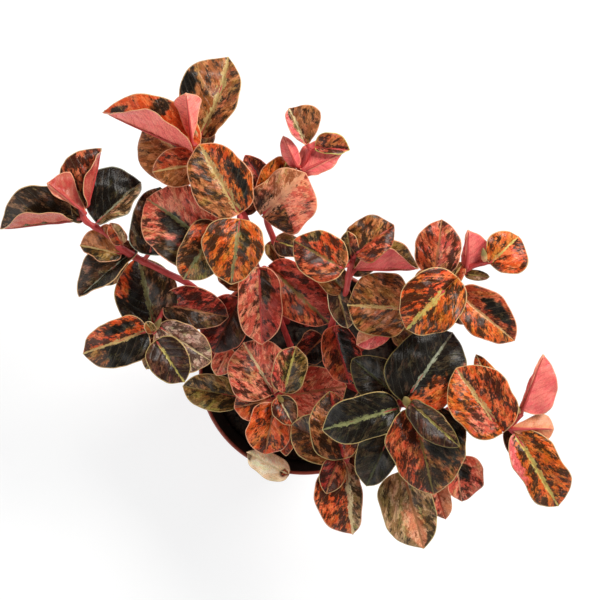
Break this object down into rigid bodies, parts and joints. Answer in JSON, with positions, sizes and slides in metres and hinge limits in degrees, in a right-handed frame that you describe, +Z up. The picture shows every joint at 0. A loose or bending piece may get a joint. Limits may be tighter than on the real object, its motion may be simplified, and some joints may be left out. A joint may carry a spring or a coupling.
{
  "type": "potted peperomia house plant",
  "caption": "Leafy house plant with mottled red, orange and dark leaves on red stems, in a small round plastic pot with soil.",
  "frame": {"origin": "centre of the pot's flat underside", "axes": "+Z up; +X to the right of the picture and +Y to its top, which is seen from straight above"},
  "size_m": [0.3036, 0.2647, 0.1943],
  "materials": {
    "pot_plastic": "satin",
    "potting_soil": "matte",
    "leaf_dark": "satin",
    "leaf_orange": "satin",
    "leaf_pink": "satin",
    "leaf_brown": "satin",
    "leaf_dry": "matte"
  },
  "bodies": {
    "root": {"pot": "pot_plastic", "soil": "potting_soil", "stem_far_left": "leaf_dark", "stem_left": "leaf_brown", "stem_centre_left": "leaf_orange", "stem_back_left": "leaf_brown", "stem_back": "leaf_pink", "stem_centre_back": "leaf_brown", "stem_right": "leaf_orange", "stem_centre": "leaf_pink", "stem_low_front": "leaf_orange", "stem_front": "leaf_brown", "stem_front_right": "leaf_dark", "stem_front_low_right": "leaf_brown", "stem_far_right": "leaf_orange", "withered_leaf": "leaf_dry"}
  },
  "joints": []
}
